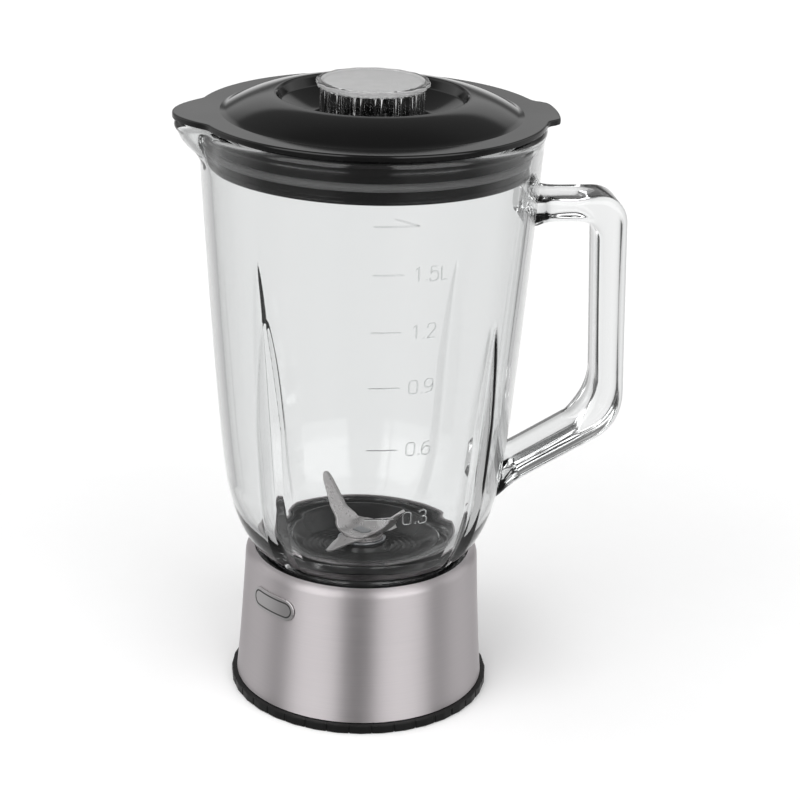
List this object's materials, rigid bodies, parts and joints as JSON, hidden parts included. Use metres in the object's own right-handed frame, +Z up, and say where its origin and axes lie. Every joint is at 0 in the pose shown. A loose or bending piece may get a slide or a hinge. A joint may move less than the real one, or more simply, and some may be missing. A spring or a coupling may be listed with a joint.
{
  "type": "countertop blender jug",
  "caption": "Fluted glass blender jug with spout and handle, standing on its steel-skirted blade holder, with lid and measuring cap.",
  "frame": {"origin": "centre of the blade holder's foot, on the surface it stands on and on the spindle's axis", "axes": "+Z up along the spindle, +X towards the handle, -X towards the spout, -Y towards the measuring scale"},
  "size_m": [0.194, 0.1456, 0.2735],
  "materials": {
    "jar_glass": "clear pressed glass, fire polished",
    "clear_plastic": "clear, slightly milky styrene",
    "black_gloss": "polished black polypropylene",
    "black_matt": "fine satin texture",
    "brushed_skirt": "brushed round the axis",
    "badge_steel": "brushed, with a dark outline",
    "blade_steel": "stamped and ground stainless steel",
    "zinc_steel": "turned and plated",
    "bush_bronze": "sintered, oily",
    "seal_rubber": "soft matt rubber",
    "gasket_rubber": "soft black rubber with moulded lips",
    "coupling_rubber": "hard moulded rubber"
  },
  "bodies": {
    "base": {"base_ring": "black_matt", "steel_skirt": "brushed_skirt", "skirt_badge": "badge_steel", "blade_holder": "black_gloss", "base_screw_1": "zinc_steel", "base_screw_2": "zinc_steel", "base_screw_3": "zinc_steel", "housing_gasket": "seal_rubber", "bearing_housing": "zinc_steel", "housing_washer": "zinc_steel", "housing_nut": "zinc_steel", "lower_bush": "bush_bronze", "upper_bush": "bush_bronze", "spindle_seal": "seal_rubber"},
    "drive": {"spindle": "zinc_steel", "blade_washer": "blade_steel", "lower_blade": "blade_steel", "upper_blade": "blade_steel", "thrust_washer": "bush_bronze", "retaining_clip": "zinc_steel", "coupling_hub": "zinc_steel", "drive_coupling": "coupling_rubber"},
    "seal": {"jar_seal": "seal_rubber"},
    "jar": {"glass_jar": "jar_glass"},
    "cover": {"lid": "black_gloss", "lid_gasket": "gasket_rubber"},
    "cap": {"measuring_cap": "clear_plastic"}
  },
  "joints": [
    {"name": "spindle_spin", "type": "hinge", "parent": "base", "child": "drive", "pos_m": [0, 0, 0.05], "axis": [0, 0, 1], "continuous": true},
    {"name": "jar_lift", "type": "slide", "parent": "base", "child": "seal", "axis": [0, 0, 1], "range_m": [0, 0.06]},
    {"name": "jar_turn", "type": "hinge", "parent": "seal", "child": "jar", "pos_m": [0, 0, 0.05], "axis": [0, 0, 1], "range_deg": [0, 90]},
    {"name": "lid_lift", "type": "slide", "parent": "jar", "child": "cover", "axis": [0, 0, 1], "range_m": [0, 0.035]},
    {"name": "cap_lift", "type": "slide", "parent": "cover", "child": "cap", "axis": [0, 0, 1], "range_m": [0, 0.035]}
  ]
}
